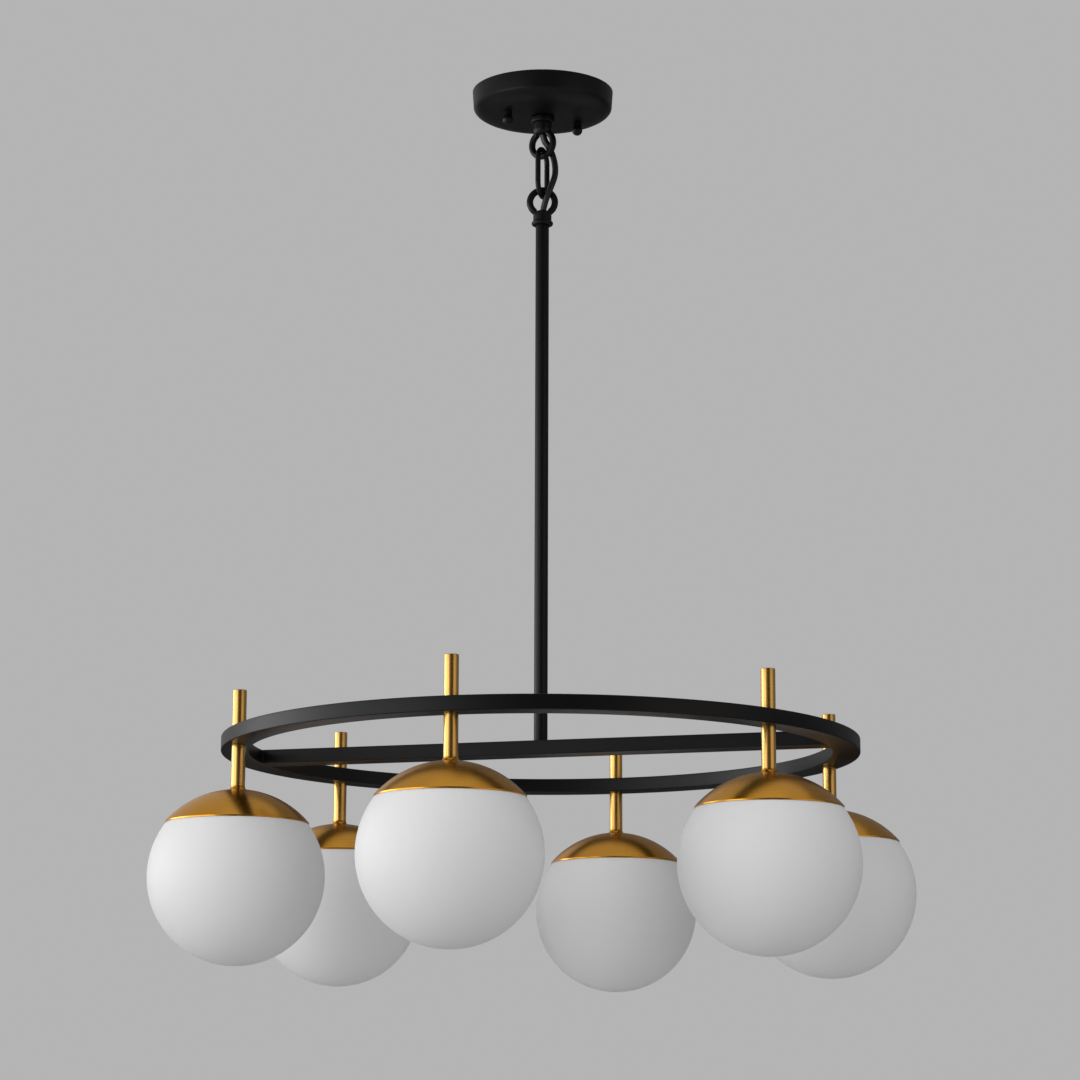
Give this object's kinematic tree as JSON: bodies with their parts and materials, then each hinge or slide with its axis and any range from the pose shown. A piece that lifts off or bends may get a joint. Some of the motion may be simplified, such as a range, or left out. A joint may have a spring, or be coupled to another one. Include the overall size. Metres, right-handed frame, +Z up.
{
  "type": "pendant light",
  "caption": "Ring pendant light: ceiling canopy, chain link and down rod carrying a tube ring with brass stems, brass caps and opal glass globes.",
  "frame": {"origin": "on the ceiling plane, at the middle of the mounting strap and on the down rod's axis", "axes": "+Z up into the ceiling, +X along the crossbar, +Y across it"},
  "size_m": [0.6096, 0.6806, 0.7928],
  "materials": {
    "black_powder_coat": "satin black powder coat on steel",
    "satin_brass": "satin brushed brass, lacquered",
    "opal_glass": "matt opal white, acid etched",
    "zinc_plated_steel": "zinc plated",
    "porcelain": "white glaze",
    "lamp_diffuser": "frosted white",
    "black_cord": "extruded matt black",
    "green_screw": "green passivated"
  },
  "bodies": {
    "ceiling": {"mounting_strap": "zinc_plated_steel", "canopy_studs": "zinc_plated_steel", "ground_screw": "green_screw", "canopy": "black_powder_coat", "canopy_nipple": "zinc_plated_steel", "canopy_locknut": "zinc_plated_steel", "canopy_collar": "black_powder_coat", "canopy_loop": "black_powder_coat", "supply_lead": "black_cord", "cord_upper": "black_cord"},
    "link": {"chain_link": "black_powder_coat"},
    "frame": {"rod_loop": "black_powder_coat", "down_rod": "black_powder_coat", "rod_nipples": "zinc_plated_steel", "rod_locknut": "zinc_plated_steel", "ring": "black_powder_coat", "crossbar": "black_powder_coat", "stem_nipples": "zinc_plated_steel", "galleries": "zinc_plated_steel", "gallery_nuts": "zinc_plated_steel", "lamp_leads": "black_cord", "cord_lower": "black_cord", "finial_1": "satin_brass", "finial_2": "satin_brass", "finial_3": "satin_brass", "finial_4": "satin_brass", "finial_5": "satin_brass", "finial_6": "satin_brass", "sleeve_1": "satin_brass", "sleeve_2": "satin_brass", "sleeve_3": "satin_brass", "sleeve_4": "satin_brass", "sleeve_5": "satin_brass", "sleeve_6": "satin_brass", "cap_1": "satin_brass", "cap_2": "satin_brass", "cap_3": "satin_brass", "cap_4": "satin_brass", "cap_5": "satin_brass", "cap_6": "satin_brass", "lampholder_1": "porcelain", "lampholder_2": "porcelain", "lampholder_3": "porcelain", "lampholder_4": "porcelain", "lampholder_5": "porcelain", "lampholder_6": "porcelain"},
    "thumb_nut_1": {"canopy_nut_1": "black_powder_coat"},
    "thumb_nut_2": {"canopy_nut_2": "black_powder_coat"},
    "globe_1": {"globe_1": "opal_glass"},
    "lamp_1": {"bulb_1": "lamp_diffuser"},
    "globe_2": {"globe_2": "opal_glass"},
    "lamp_2": {"bulb_2": "lamp_diffuser"},
    "globe_3": {"globe_3": "opal_glass"},
    "lamp_3": {"bulb_3": "lamp_diffuser"},
    "globe_4": {"globe_4": "opal_glass"},
    "lamp_4": {"bulb_4": "lamp_diffuser"},
    "globe_5": {"globe_5": "opal_glass"},
    "lamp_5": {"bulb_5": "lamp_diffuser"},
    "globe_6": {"globe_6": "opal_glass"},
    "lamp_6": {"bulb_6": "lamp_diffuser"}
  },
  "joints": [
    {"name": "link_swing", "type": "hinge", "parent": "ceiling", "child": "link", "pos_m": [0, 0, -0.049], "axis": [-0.3007, -0.9537, 0], "range_deg": [-45, 45], "deforming": ["cord_upper"]},
    {"name": "rod_swing", "type": "hinge", "parent": "link", "child": "frame", "pos_m": [0, 0, -0.0867], "axis": [0.9962, -0.0872, 0], "range_deg": [-45, 45], "deforming": ["cord_lower"]},
    {"name": "thumb_nut_1_turn", "type": "hinge", "parent": "ceiling", "child": "thumb_nut_1", "pos_m": [-0.02616, -0.02314, -0.0235], "axis": [0, 0, 1], "range_deg": [-180, 180]},
    {"name": "thumb_nut_2_turn", "type": "hinge", "parent": "ceiling", "child": "thumb_nut_2", "pos_m": [0.02616, 0.02314, -0.0235], "axis": [0, 0, 1], "range_deg": [-180, 180]},
    {"name": "globe_1_off", "type": "slide", "parent": "frame", "child": "globe_1", "axis": [0, 0, -1], "range_m": [0, 0.115]},
    {"name": "globe_2_off", "type": "slide", "parent": "frame", "child": "globe_2", "axis": [0, 0, -1], "range_m": [0, 0.115]},
    {"name": "globe_3_off", "type": "slide", "parent": "frame", "child": "globe_3", "axis": [0, 0, -1], "range_m": [0, 0.115]},
    {"name": "globe_4_off", "type": "slide", "parent": "frame", "child": "globe_4", "axis": [0, 0, -1], "range_m": [0, 0.115]},
    {"name": "globe_5_off", "type": "slide", "parent": "frame", "child": "globe_5", "axis": [0, 0, -1], "range_m": [0, 0.115]},
    {"name": "globe_6_off", "type": "slide", "parent": "frame", "child": "globe_6", "axis": [0, 0, -1], "range_m": [0, 0.115]},
    {"name": "lamp_1_out", "type": "slide", "parent": "frame", "child": "lamp_1", "axis": [0, 0, -1], "range_m": [0, 0.026]},
    {"name": "lamp_2_out", "type": "slide", "parent": "frame", "child": "lamp_2", "axis": [0, 0, -1], "range_m": [0, 0.026]},
    {"name": "lamp_3_out", "type": "slide", "parent": "frame", "child": "lamp_3", "axis": [0, 0, -1], "range_m": [0, 0.026]},
    {"name": "lamp_4_out", "type": "slide", "parent": "frame", "child": "lamp_4", "axis": [0, 0, -1], "range_m": [0, 0.026]},
    {"name": "lamp_5_out", "type": "slide", "parent": "frame", "child": "lamp_5", "axis": [0, 0, -1], "range_m": [0, 0.026]},
    {"name": "lamp_6_out", "type": "slide", "parent": "frame", "child": "lamp_6", "axis": [0, 0, -1], "range_m": [0, 0.026]}
  ]
}
